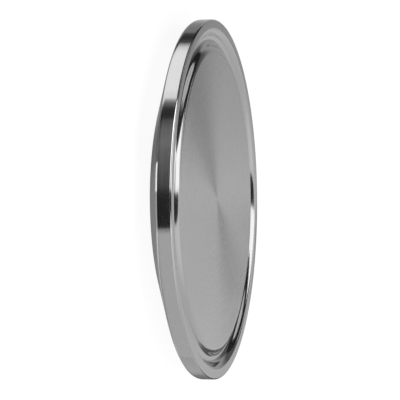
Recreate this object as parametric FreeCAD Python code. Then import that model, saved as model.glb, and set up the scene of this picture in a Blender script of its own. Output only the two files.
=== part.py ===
import FreeCAD, Part
import math
import os

# Blank end cap for a hygienic clamp joint: one disc turned from stainless bar.
# It lies on its plain back face, with its axis on Z and its gasket side up.
# Seen from the side, a straight rim stands over the clamp bevel, which runs in
# and down to the back face. The gasket side has a narrow sealing land at the
# rim, a round-bottomed groove for the bead of the gasket, and a flat face.
# The groove's lips are rounded generously, so that its walls stay gently sloped.
# Half of the cross section is drawn once, its corners are rounded as the tool
# leaves them, and it is then swept one full turn about the axis.
# Lengths are in millimetres. The origin is the centre of the back face.

# Turned blank
flange_diameter = 64.0
cap_thickness = 6.35
rim_height = 2.85
clamp_angle = 20.0

# Gasket groove: its middle is placed from the rim, its width is at the face
rim_to_groove = 3.65
groove_width = 2.42
groove_depth = 1.08

# Rounded corners of the section, from the back face round to the groove's lips
back_corner_radius = 0.5
bevel_corner_radius = 0.9
front_corner_radius = 0.3
lip_radius = 1.7

flange_radius = flange_diameter / 2
bevel_height = cap_thickness - rim_height
bevel_run = bevel_height / math.tan(math.radians(clamp_angle))
groove_centre_radius = flange_radius - rim_to_groove
groove_radius = (groove_width ** 2 / 4 + groove_depth ** 2) / (2 * groove_depth)
groove_half_opening = math.asin(groove_width / 2 / groove_radius)

ORIGIN = FreeCAD.Vector(0, 0, 0)
AXIS = FreeCAD.Vector(0, 0, 1)
SECTION_PLANE = Part.Plane(ORIGIN, FreeCAD.Vector(0, 1, 0))
FULL_TURN = 360


def point(radius, height):
    """A point of the half section, which lies in the XZ plane."""
    return FreeCAD.Vector(radius, 0, height)


def on_groove(angle):
    """A point of the groove's round section, at an angle outwards from its lowest point."""
    rise = groove_radius * (1 - math.cos(angle))
    return point(groove_centre_radius + groove_radius * math.sin(angle), cap_thickness - groove_depth + rise)


back_centre = point(0, 0)
back_corner = point(flange_radius - bevel_run, 0)
bevel_corner = point(flange_radius, bevel_height)
front_corner = point(flange_radius, cap_thickness)
outer_lip = on_groove(groove_half_opening)
groove_bottom = on_groove(0)
inner_lip = on_groove(-groove_half_opening)
face_centre = point(0, cap_thickness)


def line(start, end):
    """A straight edge of the section."""
    return Part.LineSegment(start, end).toShape()


def groove_half(start, middle_angle, end):
    """Half of the groove's round section."""
    return Part.Arc(start, on_groove(middle_angle), end).toShape()


def rounded(edges, corners):
    """A chain of edges, with a tangent arc in place of each corner between two of them."""
    first, *others = edges
    chain = [first]
    for (corner, radius), other in zip(corners, others):
        fillet = Part.ChFi2d.FilletAPI()
        fillet.init(chain.pop(), other, SECTION_PLANE)
        fillet.perform(radius)
        arc, before, after = fillet.result(corner)
        chain += [before, arc, after]
    return chain


def outside():
    """The section from the axis at the back, round the rim and down to the groove's bottom."""
    edges = [
        line(back_centre, back_corner),
        line(back_corner, bevel_corner),
        line(bevel_corner, front_corner),
        line(front_corner, outer_lip),
        groove_half(outer_lip, groove_half_opening / 2, groove_bottom),
    ]
    corners = [
        (back_corner, back_corner_radius),
        (bevel_corner, bevel_corner_radius),
        (front_corner, front_corner_radius),
        (outer_lip, lip_radius),
    ]
    return rounded(edges, corners)


def inside():
    """The section from the groove's bottom up to the face and in to the axis."""
    edges = [
        groove_half(groove_bottom, -groove_half_opening / 2, inner_lip),
        line(inner_lip, face_centre),
    ]
    return rounded(edges, [(inner_lip, lip_radius)])


def end_cap():
    """The rounded half section, closed along the axis and swept round it."""
    outline = Part.Wire(outside() + inside() + [line(face_centre, back_centre)])
    return Part.Face(outline).revolve(ORIGIN, AXIS, FULL_TURN)


os.makedirs("parts", exist_ok=True)
end_cap().exportStep("parts/end_cap.step")
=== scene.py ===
import math

import bpy
from mathutils import Matrix, Vector


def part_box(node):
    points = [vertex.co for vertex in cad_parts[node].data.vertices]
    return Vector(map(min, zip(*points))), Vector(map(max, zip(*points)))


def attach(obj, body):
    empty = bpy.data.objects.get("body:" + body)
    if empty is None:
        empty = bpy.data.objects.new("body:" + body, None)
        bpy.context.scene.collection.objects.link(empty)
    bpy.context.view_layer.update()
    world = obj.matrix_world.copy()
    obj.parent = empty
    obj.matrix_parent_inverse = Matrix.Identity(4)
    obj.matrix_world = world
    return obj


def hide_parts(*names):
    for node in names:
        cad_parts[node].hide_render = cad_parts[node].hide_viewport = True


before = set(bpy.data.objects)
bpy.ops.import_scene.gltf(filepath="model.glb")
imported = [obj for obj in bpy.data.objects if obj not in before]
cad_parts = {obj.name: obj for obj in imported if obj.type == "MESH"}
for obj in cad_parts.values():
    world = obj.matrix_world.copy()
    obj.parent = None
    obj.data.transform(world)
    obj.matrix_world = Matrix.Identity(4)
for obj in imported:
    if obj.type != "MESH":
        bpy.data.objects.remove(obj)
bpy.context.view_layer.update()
node_low, node_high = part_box("end_cap")

# A clamp end cap turned from stainless bar, in a studio of one lamp and many cards for it to mirror.
# It lies flat on its back with its axis on Z. The camera is rolled, so that the cap stands on its rim
# in the picture, whose top is towards -X and whose right side, the cap's far side, is towards +Y.
MM = 0.001
QUARTER_TURN = math.pi / 2

# The cap's section in millimetres, as the solid has it
FLANGE_RADIUS = (node_high.x - node_low.x) / 2 / MM
THICKNESS = (node_high.z - node_low.z) / MM
RIM_HEIGHT = 2.85
CLAMP_ANGLE = math.radians(20)
RIM_TO_GROOVE = 3.65
GROOVE_CENTRE = FLANGE_RADIUS - RIM_TO_GROOVE
GROOVE_WIDTH = 2.42
GROOVE_DEPTH = 1.08
BACK_CORNER = 0.5
BEVEL_CORNER = 0.9
FRONT_CORNER = 0.3
LIP = 1.7

# How finely the mesh is made: the turn in each step of an arc, the steps round the axis, how far from
# an arc the flat beside it has its first point, and how near points are joined, in millimetres
ARC_STEP = math.radians(3)
STEPS_ROUND = 256
GUARD = 0.06
WELD = 0.001

# The turning marks. Real ones are about 0.05 mm apart, too fine to show, so these are drawn 0.16 mm
# apart. They come from noise that is read round a ring, and a larger ring gives shorter marks. The
# noise keeps mostly between two values, and roughness varies by the contrast. A highlight spreads
# across the marks, a quarter of a turn from the way they run.
MARK_SPACING = 0.16
MARK_RING = 3
MARK_NOISE = (0.3, 0.7)
MARK_CONTRAST = 0.15
ACROSS_THE_MARKS = 0.25


def linear(hex_colour):
    """An sRGB hex colour as the linear colour that a shader takes."""
    channels = [int(hex_colour[i:i + 2], 16) / 255 for i in (0, 2, 4)]
    return [c / 12.92 if c <= 0.04045 else ((c + 0.055) / 1.055) ** 2.4 for c in channels] + [1]


def add(tree, kind, inputs=None, **settings):
    """Adds a node to a tree. An input's value is set, or linked where it is a socket."""
    node = tree.nodes.new(kind)
    for name, value in settings.items():
        setattr(node, name, value)
    for key, value in (inputs or {}).items():
        if isinstance(value, bpy.types.NodeSocket):
            tree.links.new(value, node.inputs[key])
        else:
            node.inputs[key].default_value = value
    return node


def arc(centre_radius, centre_height, radius, start, end, leads=(True, True)):
    """Points along one arc of the section, with a point on each straight line that leads in or out."""
    steps = max(2, math.ceil(abs(end - start) / ARC_STEP))
    sweep = math.copysign(GUARD, end - start)

    def place(angle, along):
        return (
            centre_radius + radius * math.cos(angle) - along * math.sin(angle),
            centre_height + radius * math.sin(angle) + along * math.cos(angle),
        )
    points = [place(start + (end - start) * i / steps, 0) for i in range(steps + 1)]
    lead_in = [place(start, -sweep)] if leads[0] else []
    lead_out = [place(end, sweep)] if leads[1] else []
    return lead_in + points + lead_out


def section():
    """Half the cap's section, from the axis at the back round to the axis at the face."""
    bevel_height = THICKNESS - RIM_HEIGHT
    back_radius = FLANGE_RADIUS - bevel_height / math.tan(CLAMP_ANGLE)
    back_run = BACK_CORNER * math.tan(CLAMP_ANGLE / 2)
    rim_run = BEVEL_CORNER * math.tan((QUARTER_TURN - CLAMP_ANGLE) / 2)
    bevel_low = CLAMP_ANGLE - QUARTER_TURN
    back = arc(back_radius - back_run, BACK_CORNER, BACK_CORNER, -QUARTER_TURN, bevel_low)
    bevel = arc(FLANGE_RADIUS - BEVEL_CORNER, bevel_height + rim_run, BEVEL_CORNER, bevel_low, 0)
    front = arc(FLANGE_RADIUS - FRONT_CORNER, THICKNESS - FRONT_CORNER, FRONT_CORNER, 0, QUARTER_TURN)
    return [(0, 0)] + back + bevel + front + groove_section() + [(0, THICKNESS)]


def groove_section():
    """The groove from its outer lip to its inner lip. Each lip's arc touches the arc of the bottom."""
    groove_radius = (GROOVE_WIDTH ** 2 / 4 + GROOVE_DEPTH ** 2) / (2 * GROOVE_DEPTH)
    above_face = groove_radius - GROOVE_DEPTH
    wall = math.acos((above_face + LIP) / (groove_radius + LIP))
    reach = (groove_radius + LIP) * math.sin(wall)
    lip_height = THICKNESS - LIP
    outer = arc(GROOVE_CENTRE + reach, lip_height, LIP, QUARTER_TURN, QUARTER_TURN + wall, (True, False))
    inner = arc(GROOVE_CENTRE - reach, lip_height, LIP, QUARTER_TURN - wall, QUARTER_TURN, (False, True))
    bottom = arc(
        GROOVE_CENTRE, THICKNESS + above_face, groove_radius,
        wall - QUARTER_TURN, -wall - QUARTER_TURN, (False, False),
    )
    return outer[:-1] + bottom + inner[1:]


def section_object():
    """The section as a line of edges: radius on X, height down Y, as the sweep below takes it."""
    points = [(radius * MM, -height * MM, 0) for radius, height in reversed(section())]
    mesh = bpy.data.meshes.new("end_cap_section")
    mesh.from_pydata(points, [(i, i + 1) for i in range(len(points) - 1)], [])
    section_line = bpy.data.objects.new("turned_end_cap", mesh)
    bpy.context.scene.collection.objects.link(section_line)
    return section_line


def turning_tree(material):
    """A tree that sweeps a section once round Z, closes its seam and its two poles, and smooths it."""
    tree = bpy.data.node_groups.new("turn_section", "GeometryNodeTree")
    sockets = [
        ("Section", "INPUT", "NodeSocketGeometry"),
        ("Steps round", "INPUT", "NodeSocketInt"),
        ("Rail radius", "INPUT", "NodeSocketFloat"),
        ("Weld distance", "INPUT", "NodeSocketFloat"),
        ("Turned", "OUTPUT", "NodeSocketGeometry"),
    ]
    for name, direction, kind in sockets:
        tree.interface.new_socket(name, in_out=direction, socket_type=kind)
    given = add(tree, "NodeGroupInput").outputs

    # The section is moved in by the rail's radius, so that its own axis falls on Z
    inward = add(tree, "ShaderNodeMath", {0: given["Rail radius"], 1: -1}, operation="MULTIPLY")
    shift = add(tree, "ShaderNodeCombineXYZ", {"X": inward.outputs[0]})
    line = add(tree, "GeometryNodeMeshToCurve", {"Mesh": given["Section"]})
    placed = add(tree, "GeometryNodeTransform", {
        "Geometry": line.outputs[0],
        "Translation": shift.outputs[0],
    })

    circle = add(tree, "GeometryNodeCurvePrimitiveCircle", {
        "Resolution": given["Steps round"],
        "Radius": given["Rail radius"],
    }, mode="RADIUS")
    rail = add(tree, "GeometryNodeSetCurveNormal", {"Curve": circle.outputs[0]}, mode="Z_UP")
    swept = add(tree, "GeometryNodeCurveToMesh", {
        "Curve": rail.outputs[0],
        "Profile Curve": placed.outputs[0],
    })
    welded = add(tree, "GeometryNodeMergeByDistance", {
        "Geometry": swept.outputs[0],
        "Distance": given["Weld distance"],
    })
    smooth = add(tree, "GeometryNodeSetShadeSmooth", {"Geometry": welded.outputs[0]})
    real = add(tree, "GeometryNodeRealizeInstances", {"Geometry": smooth.outputs[0]})
    finished = add(tree, "GeometryNodeSetMaterial", {"Geometry": real.outputs[0], "Material": material})
    add(tree, "NodeGroupOutput", {0: finished.outputs[0]})
    return tree


def turned(section_line, material, values):
    """Runs the turning tree on the section and keeps the result as the object's plain mesh."""
    modifier = section_line.modifiers.new("turning", "NODES")
    modifier.node_group = turning_tree(material)
    for item in modifier.node_group.interface.items_tree:
        if item.name in values:
            modifier[item.identifier] = values[item.name]
    evaluated = section_line.evaluated_get(bpy.context.evaluated_depsgraph_get())
    mesh = bpy.data.meshes.new_from_object(evaluated)
    section_line.modifiers.clear()
    section_line.data = mesh
    return mesh


def turning_marks(tree):
    """Noise drawn out round the axis, so that it changes quickly outwards and upwards and slowly round."""
    place = add(tree, "ShaderNodeTexCoord").outputs["Object"]
    parts = add(tree, "ShaderNodeSeparateXYZ", {0: place}).outputs
    flat = add(tree, "ShaderNodeCombineXYZ", {"X": parts["X"], "Y": parts["Y"]}).outputs[0]
    out = add(tree, "ShaderNodeVectorMath", {0: flat}, operation="LENGTH").outputs["Value"]
    heading = add(tree, "ShaderNodeVectorMath", {0: flat}, operation="NORMALIZE").outputs[0]
    across = add(tree, "ShaderNodeMath", {0: out, 1: parts["Z"]}, operation="ADD").outputs[0]
    spaced = add(tree, "ShaderNodeMath", {0: across, 1: 1 / (MARK_SPACING * MM)}, operation="MULTIPLY")
    rise = add(tree, "ShaderNodeCombineXYZ", {"Z": spaced.outputs[0]}).outputs[0]
    on_ring = add(tree, "ShaderNodeVectorMath", {
        0: heading, 1: [MARK_RING] * 3, 2: rise,
    }, operation="MULTIPLY_ADD").outputs[0]
    return add(tree, "ShaderNodeTexNoise", {"Vector": on_ring, "Scale": 1, "Detail": 2}).outputs[0]


def steel(name, colour, roughness, anisotropy, mark_depth):
    """Turned stainless steel. Its marks run round the axis, so a highlight spreads across them."""
    material = bpy.data.materials.new(name)
    material.use_nodes = True
    tree = material.node_tree
    shader = tree.nodes["Principled BSDF"]
    shader.inputs["Base Color"].default_value = linear(colour)
    shader.inputs["Metallic"].default_value = 1
    shader.inputs["Anisotropic"].default_value = anisotropy
    shader.inputs["Anisotropic Rotation"].default_value = ACROSS_THE_MARKS
    tangent = add(tree, "ShaderNodeTangent", direction_type="RADIAL", axis="Z")
    tree.links.new(tangent.outputs[0], shader.inputs["Tangent"])

    marks = turning_marks(tree)
    dulled = add(tree, "ShaderNodeMapRange", {
        "Value": marks,
        "From Min": MARK_NOISE[0],
        "From Max": MARK_NOISE[1],
        "To Min": roughness * (1 - MARK_CONTRAST),
        "To Max": roughness * (1 + MARK_CONTRAST),
    })
    tree.links.new(dulled.outputs[0], shader.inputs["Roughness"])
    bump = add(tree, "ShaderNodeBump", {"Height": marks, "Strength": 1, "Distance": mark_depth * MM})
    tree.links.new(bump.outputs[0], shader.inputs["Normal"])
    return material


# Satin face: fine even marks draw each highlight out into a fan from the centre
satin_face = steel(
    "satin_turned_stainless", colour="C6C6C6", roughness=0.3, anisotropy=0.7, mark_depth=0.0005,
)

# Groove and rounded edges: smooth from the tool, so that they mirror the studio in clear streaks
bright_edges = steel(
    "bright_turned_stainless", colour="BFBFBF", roughness=0.13, anisotropy=0.5, mark_depth=0.0003,
)

# Rim: finely turned, so that it mirrors the studio in blocks of light and dark, a little softened by
# the deepest marks
fine_rim = steel(
    "fine_turned_stainless", colour="C2C2C2", roughness=0.13, anisotropy=0.8, mark_depth=0.0025,
)

# Back and clamp bevel: turned with no finishing cut, so that they look dull and faintly ringed
plain_back = steel(
    "plain_turned_stainless", colour="C2C2C2", roughness=0.3, anisotropy=0.6, mark_depth=0.002,
)

# Sealing land: as dull, with less of a direction, so that its grey is nearly even all the way round
even_land = steel(
    "even_turned_stainless", colour="C2C2C2", roughness=0.3, anisotropy=0.45, mark_depth=0.0012,
)

FINISHES = [satin_face, bright_edges, fine_rim, plain_back, even_land]

# How a face of the mesh is told apart: how near it is to the top in millimetres, and how far its
# normal points up
LEVEL_WITHIN = 0.001
UPRIGHT_WITHIN = 0.02
FACING_DOWN = -0.93


def finish_of(face):
    """The finish of one face of the turned mesh, by where it lies and which way it points."""
    if abs(face.center.z - THICKNESS * MM) < LEVEL_WITHIN * MM:
        return even_land if face.center.xy.length > GROOVE_CENTRE * MM else satin_face
    if abs(face.normal.z) < UPRIGHT_WITHIN:
        return fine_rim
    return plain_back if face.normal.z < FACING_DOWN else bright_edges


cap = section_object()
cap_mesh = turned(cap, satin_face, {
    "Steps round": STEPS_ROUND,
    "Rail radius": FLANGE_RADIUS * MM,
    "Weld distance": WELD * MM,
})
for finish in FINISHES[1:]:
    cap_mesh.materials.append(finish)
for face in cap_mesh.polygons:
    face.material_index = FINISHES.index(finish_of(face))

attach(cap, "root")
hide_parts("end_cap")


# The studio, in millimetres: half the floor's width, how far the floor lies below the cap's back, the
# height of the lowest cards over the floor, and the angle at which the camera stands round the cap
FLOOR_HALF = 3000
FLOOR_DROP = 0.01
LOW = 0.1
CAMERA_ANGLE = 273.1


def around(angle, radius=1, height=0):
    """A point on a circle about the axis, at an angle counted clockwise from the picture's top."""
    turn = math.radians(angle)
    return Vector((-radius * math.cos(turn), radius * math.sin(turn), height))


def floor_material(glow, whiteness):
    """A matt floor. Its own glow and its whiteness are each a pair, for the camera and for the metal."""
    material = bpy.data.materials.new("white_floor")
    material.use_nodes = True
    material.cycles.emission_sampling = "NONE"
    tree = material.node_tree
    tree.nodes.clear()
    rays = add(tree, "ShaderNodeLightPath").outputs
    in_metal = add(tree, "ShaderNodeMath", {0: rays["Is Glossy Ray"], 1: rays["Is Transmission Ray"]})
    metal_glow = add(tree, "ShaderNodeMath", {0: in_metal.outputs[0], 1: glow[1]}, operation="MULTIPLY")
    strength = add(tree, "ShaderNodeMix", {
        "Factor": rays["Is Camera Ray"],
        "A": metal_glow.outputs[0],
        "B": glow[0],
    })
    white = add(tree, "ShaderNodeMix", {
        "Factor": rays["Is Camera Ray"],
        "A": whiteness[1],
        "B": whiteness[0],
    })
    emission = add(tree, "ShaderNodeEmission", {"Strength": strength.outputs[0]})
    diffuse = add(tree, "ShaderNodeBsdfDiffuse", {"Color": white.outputs[0]})
    both = add(tree, "ShaderNodeAddShader", {0: emission.outputs[0], 1: diffuse.outputs[0]})

    # A look from below goes through it, so that the cap's back shows
    clear = add(tree, "ShaderNodeBsdfTransparent")
    below = add(tree, "ShaderNodeNewGeometry").outputs["Backfacing"]
    floor = add(tree, "ShaderNodeMixShader", {0: below, 1: both.outputs[0], 2: clear.outputs[0]})
    add(tree, "ShaderNodeOutputMaterial", {0: floor.outputs[0]})
    return material


def sheet_object(name, points, faces, material):
    """One sheet of the studio, from points in millimetres."""
    mesh = bpy.data.meshes.new(name)
    mesh.from_pydata([point * MM for point in points], [], faces)
    mesh.materials.append(material)
    sheet = bpy.data.objects.new(name, mesh)
    bpy.context.scene.collection.objects.link(sheet)
    return sheet


def white_floor():
    """The floor, nearly white to the camera with a light shadow on it, and grey in the metal."""
    corners = ((-1, -1), (1, -1), (1, 1), (-1, 1))
    points = [Vector((x * FLOOR_HALF, y * FLOOR_HALF, -FLOOR_DROP)) for x, y in corners]
    sheet_object("floor", points, [(0, 1, 2, 3)], floor_material(glow=(0.92, 0.12), whiteness=(0.2, 0.95)))


def glow_towards(tree, look, direction, lean, glow):
    """A glow that changes smoothly while a look leans towards a direction.

    The lean and the glow are each a pair: where the change starts and where it ends.
    """
    leaning = add(tree, "ShaderNodeVectorMath", {0: look, 1: direction}, operation="DOT_PRODUCT")
    change = add(tree, "ShaderNodeMapRange", {
        "Value": leaning.outputs["Value"],
        "From Min": lean[0],
        "From Max": lean[1],
        "To Min": glow[0],
        "To Max": glow[1],
    }, interpolation_type="SMOOTHSTEP")
    return change.outputs[0]


def dark_band(tree, look, pole, middle, half_width, depth):
    """What share of the glow a soft dark band about a pole takes away.

    The band keeps its depth within its first half width, and is gone at its second. It fades out
    towards the near side.
    """
    leaning = add(tree, "ShaderNodeVectorMath", {0: look, 1: pole}, operation="DOT_PRODUCT")
    off_middle = add(tree, "ShaderNodeMath", {0: leaning.outputs["Value"], 1: middle}, operation="SUBTRACT")
    off_band = add(tree, "ShaderNodeMath", {0: off_middle.outputs[0]}, operation="ABSOLUTE")
    band = add(tree, "ShaderNodeMapRange", {
        "Value": off_band.outputs[0],
        "From Min": half_width[0],
        "From Max": half_width[1],
        "To Min": depth,
        "To Max": 0,
    }, interpolation_type="SMOOTHSTEP")
    behind = glow_towards(tree, look, (0, 1, 0), lean=(-0.1, 0.8), glow=(0, 1))
    faded = add(tree, "ShaderNodeMath", {0: band.outputs[0], 1: behind}, operation="MULTIPLY")
    return faded.outputs[0]


def pale_side(tree, look, edges, softness):
    """1 where a look is on the pale side of the studio, which is in front of either of two planes."""
    first, second = [
        add(tree, "ShaderNodeVectorMath", {0: look, 1: edge}, operation="DOT_PRODUCT").outputs["Value"]
        for edge in edges
    ]
    front = add(tree, "ShaderNodeMath", {0: first, 1: second}, operation="MAXIMUM")
    side = add(tree, "ShaderNodeMapRange", {
        "Value": front.outputs[0],
        "From Min": 0,
        "From Max": softness,
        "To Min": 0,
        "To Max": 1,
    }, interpolation_type="SMOOTHSTEP")
    return side.outputs[0]


def studio_world(dark_side):
    """The world: white for the camera, behind the floor. The metal sees a pale side and a dark side."""
    world = bpy.data.worlds.new("studio")
    world.use_nodes = True
    tree = world.node_tree
    tree.nodes.clear()
    rays = add(tree, "ShaderNodeLightPath").outputs
    look = add(tree, "ShaderNodeTexCoord").outputs["Generated"]

    # The pale side glows more low in front of the cap and straight above it: soft streaks in the groove
    near = glow_towards(tree, look, (0.1, -0.9, -0.45), lean=(0.05, 0.75), glow=(0.68, 1.25))
    above = glow_towards(tree, look, (0, 0, 1), lean=(0.75, 0.97), glow=(0, 0.25))
    glow = add(tree, "ShaderNodeMath", {0: near, 1: above}, operation="ADD")

    # Two things shade it: a band that draws thin dark lines in the groove at the picture's top and
    # bottom, and a faint patch low behind the cap, which the flat face and the land mirror
    band = dark_band(tree, look, (-0.124, 0.502, 0.856), middle=0.519, half_width=(0.005, 0.09), depth=0.3)
    patch = glow_towards(tree, look, (0.06, 0.98, 0.19), lean=(0.98, 0.999), glow=(0, 0.1))
    shade = add(tree, "ShaderNodeMath", {0: band, 1: patch}, operation="MAXIMUM")
    left_over = add(tree, "ShaderNodeMath", {0: 1, 1: shade.outputs[0]}, operation="SUBTRACT")
    pale = add(tree, "ShaderNodeMath", {0: glow.outputs[0], 1: left_over.outputs[0]}, operation="MULTIPLY")

    on_pale_side = pale_side(tree, look, edges=((1, 0.19, -0.128), (1, 0.45, -0.21)), softness=0.014)
    metal = add(tree, "ShaderNodeMix", {"Factor": on_pale_side, "A": dark_side, "B": pale.outputs[0]})
    seen = add(tree, "ShaderNodeMix", {"Factor": rays["Is Camera Ray"], "A": metal.outputs[0], "B": 1})
    background = add(tree, "ShaderNodeBackground", {"Color": (1, 1, 1, 1), "Strength": seen.outputs[0]})
    add(tree, "ShaderNodeOutputWorld", {0: background.outputs[0]})
    bpy.context.scene.world = world


white_floor()
studio_world(dark_side=0.02)


def card_material():
    """Glows at the brightness that a card keeps at its points."""
    material = bpy.data.materials.new("studio_card")
    material.use_nodes = True
    tree = material.node_tree
    tree.nodes.clear()
    level = add(tree, "ShaderNodeAttribute", attribute_name="glow").outputs["Fac"]
    glow = add(tree, "ShaderNodeEmission", {"Strength": level})
    add(tree, "ShaderNodeOutputMaterial", {0: glow.outputs[0]})
    return material


studio_card = card_material()


def card(name, stations):
    """A studio card for the metal to mirror, and for nothing else.

    A station is two points on the card's edges and the brightness between them. It changes evenly
    from one station to the next.
    """
    points = [point for first, second, _ in stations for point in (first, second)]
    faces = [(i, i + 1, i + 3, i + 2) for i in range(0, len(points) - 2, 2)]
    sheet = sheet_object(name, points, faces, studio_card)
    glow = sheet.data.attributes.new("glow", "FLOAT", "POINT")
    glow.data.foreach_set("value", [level for *_, level in stations for _ in range(2)])
    sheet.visible_camera = False
    sheet.visible_diffuse = False
    sheet.visible_shadow = False


def mirrored(angle, reach, height):
    """A place over the floor that the rim's wall mirrors to the camera.

    The angle is where on the wall it shows, and the reach is how far it lies from the wall's foot.
    """
    return around(angle, FLANGE_RADIUS) + around(2 * angle - CAMERA_ANGLE, reach, height)


def rim_card(name, levels, near=1, far=60, height=LOW):
    """A low card whose brightness is given by the angle round the rim at which it shows."""
    card(name, [
        (mirrored(angle, near, height), mirrored(angle, far, height), level) for angle, level in levels
    ])


def bevel_card(name, levels, inner=22.4, outer=32.5):
    """A low card under the cap's overhang, with its brightness by the angle round the axis."""
    card(name, [(around(angle, inner, LOW), around(angle, outer, LOW), level) for angle, level in levels])


def side_card(name, rows, distance=700):
    """A tall card beside the cap, off the picture's top.

    A row is two points, each a place in Y and a height, and the brightness between them.
    """
    card(name, [
        (Vector((-distance, *first)), Vector((-distance, *second)), level) for first, second, level in rows
    ])


def end_card(name, distance, rows):
    """A tall card behind the cap, or in front of it at a distance below zero.

    A row is two points, each a place in X and a height, and the brightness between them.
    """
    card(name, [
        (Vector((first[0], distance, first[1])), Vector((second[0], distance, second[1])), level)
        for first, second, level in rows
    ])


def leaning_card(name, rows, foot=40, top=70):
    """A small card behind the cap that leans back.

    A row is the place in X of its foot and of its top, the height of its top, and its brightness.
    """
    card(name, [
        (Vector((low, foot, LOW)), Vector((high, top, height)), level) for low, high, height, level in rows
    ])


# What the rim's wall mirrors: its dark foot at the picture's bottom, and its blocks of light and dark.
# Each pair is an angle round the rim and a brightness.
rim_card("low_bottom", [
    (181, 0.1), (186, 0.1), (190, 0.2), (195, 0.24), (199, 0.45), (202, 0.55), (214, 0.55),
])
rim_card("low_near", [
    (262.9, 0.5), (264.6, 0.02), (274.5, 0.022), (277, 0.06), (282, 0.11), (285, 0.14), (290, 0.2),
    (294, 0.17), (297, 0.12), (299, 0.03), (301.5, 0.03), (303.3, 0.15), (304.8, 0.4), (306, 1.2),
    (309, 1.35), (324, 1.35), (328, 1.1), (330, 0.6), (331.5, 0.1), (334, 0.045), (337, 0.06), (339.3, 0.27),
    (346, 0.3), (350, 0.4), (354, 0.5), (359, 0.5),
])

# The thin dark line along the front corner at the upper left
rim_card("dark_left", [(298, 0.02), (340, 0.02)], near=60, far=2000)

# The light line along the bevel corner, with a glint at its upper end
rim_card("glint_near", [
    (190, 0.4), (215, 0.8), (262, 0.95), (264, 0.6), (275.6, 0.6), (276, 1.6), (285.3, 1.6),
], near=-0.8, far=2.7, height=0.15)

# The grey of the bevel: a dim card under the cap's overhang, which the bevel mirrors. It is painted shade
# that takes the place of the floor's shadow there
bevel_card("painted_shade_under", [
    (168, 0.36), (192, 0.36), (204, 0.36), (216, 0.36), (228, 0.34), (240, 0.31), (252, 0.3), (264, 0.3),
    (275, 0.29), (282, 0.25), (288, 0.2), (294, 0.19), (300, 0.22), (307, 0.33), (315, 0.36), (327, 0.36),
    (340, 0.3),
])

# The white line along the front corner at the left
side_card("white_side", [
    ((-4400, 0.2), (-4400, 2050), 3.6), ((-1920, 0.2), (-1920, 950), 3.6), ((-1210, 0.2), (-1210, 710), 3.6),
    ((-830, 0.2), (-830, 615), 3.6), ((-600, 0.2), (-600, 680), 3.6), ((-400, 200), (-400, 728), 3.6),
    ((-250, 390), (-250, 732), 3.6), ((-90, 735), (-90, 731), 3.6),
])

# The pale streaks in the groove at the upper left and the lower right
side_card("grey_side", [
    ((110, 620), (110, 910), 0.75), ((600, 390), (640, 985), 0.75), ((800, 700), (800, 705), 0.75),
])

# What the flat face and the groove's lips look at: the grey of the face with its two fans, and the
# dark lines round it. The second card adds a faint light line on each side.
end_card("grey_far", 1500, [
    ((-1150, 0.2), (40, 0.2), 0.42), ((-1100, 380), (40, 380), 0.42), ((-900, 600), (40, 600), 0.12),
    ((-700, 850), (40, 850), 0.12), ((-650, 1000), (40, 1000), 0.02),
])
end_card("pale_far", 1490, [((-90, 900), (40, 900), 0.8), ((-90, 2600), (40, 2600), 0.8)])

# The dark crescents in the groove at the picture's bottom. The second card also shades the lower
# half of the face a little.
leaning_card("dark_behind_right", [
    (36, 43, 15, 0.12), (45, 57, 26, 0.12), (53, 72, 34, 0.12), (60, 84, 44, 0.14), (68, 98, 48, 0.3),
    (85, 125, 50, 0.4),
])
leaning_card("dark_behind", [(13, 2, 17, 0.04), (26, 24, 15, 0.04)])

# The lower end of the white line along the front corner
end_card("white_near", -700, [((98, 330), (74, 1084), 1.9), ((255, 271), (255, 1147), 1.9)])


def overhead_softbox(length, width, radiance, place, turn):
    """The one lamp, a level rectangle over the cap. It lights the floor, and the metal mirrors it."""
    lamp = bpy.data.lights.new("softbox_overhead", "AREA")
    lamp.shape = "RECTANGLE"
    lamp.size = length * MM
    lamp.size_y = width * MM
    lamp.energy = radiance * math.pi * lamp.size * lamp.size_y
    rig = bpy.data.objects.new("softbox_overhead", lamp)
    rig.location = Vector(place) * MM
    rig.rotation_euler = (0, 0, math.radians(turn))
    rig.visible_camera = False
    bpy.context.scene.collection.objects.link(rig)


overhead_softbox(length=1050, width=400, radiance=1.75, place=(-235, 145, 1000), turn=85.5)

# The camera, at the photograph's angle: where it stands seen from its aim, its roll and its lens
CAMERA_AZIMUTH = math.radians(-3.094)
CAMERA_ELEVATION = math.radians(14.178)
CAMERA_DISTANCE = 465.13 * MM
CAMERA_ROLL = math.radians(89.69)
CAMERA_AIM = Vector((0.046, -0.763, 3.362)) * MM
CAMERA_LENS = 235.14
CAMERA_FILM = 36
CAMERA_SEES = (0.01, 20)


def photo_camera():
    """A camera that looks at its aim, rolled so that the cap stands on its rim."""
    towards_camera = Vector((
        math.sin(CAMERA_AZIMUTH) * math.cos(CAMERA_ELEVATION),
        -math.cos(CAMERA_AZIMUTH) * math.cos(CAMERA_ELEVATION),
        math.sin(CAMERA_ELEVATION),
    ))
    optics = bpy.data.cameras.new("camera")
    optics.lens = CAMERA_LENS
    optics.sensor_width = CAMERA_FILM
    optics.clip_start, optics.clip_end = CAMERA_SEES
    camera = bpy.data.objects.new("camera", optics)
    turn = (-towards_camera).to_track_quat("-Z", "Y").to_matrix() @ Matrix.Rotation(CAMERA_ROLL, 3, "Z")
    camera.matrix_world = Matrix.Translation(CAMERA_AIM + towards_camera * CAMERA_DISTANCE) @ turn.to_4x4()
    bpy.context.scene.collection.objects.link(camera)
    return camera


bpy.context.scene.camera = photo_camera()
bpy.context.scene.view_settings.view_transform = "Standard"
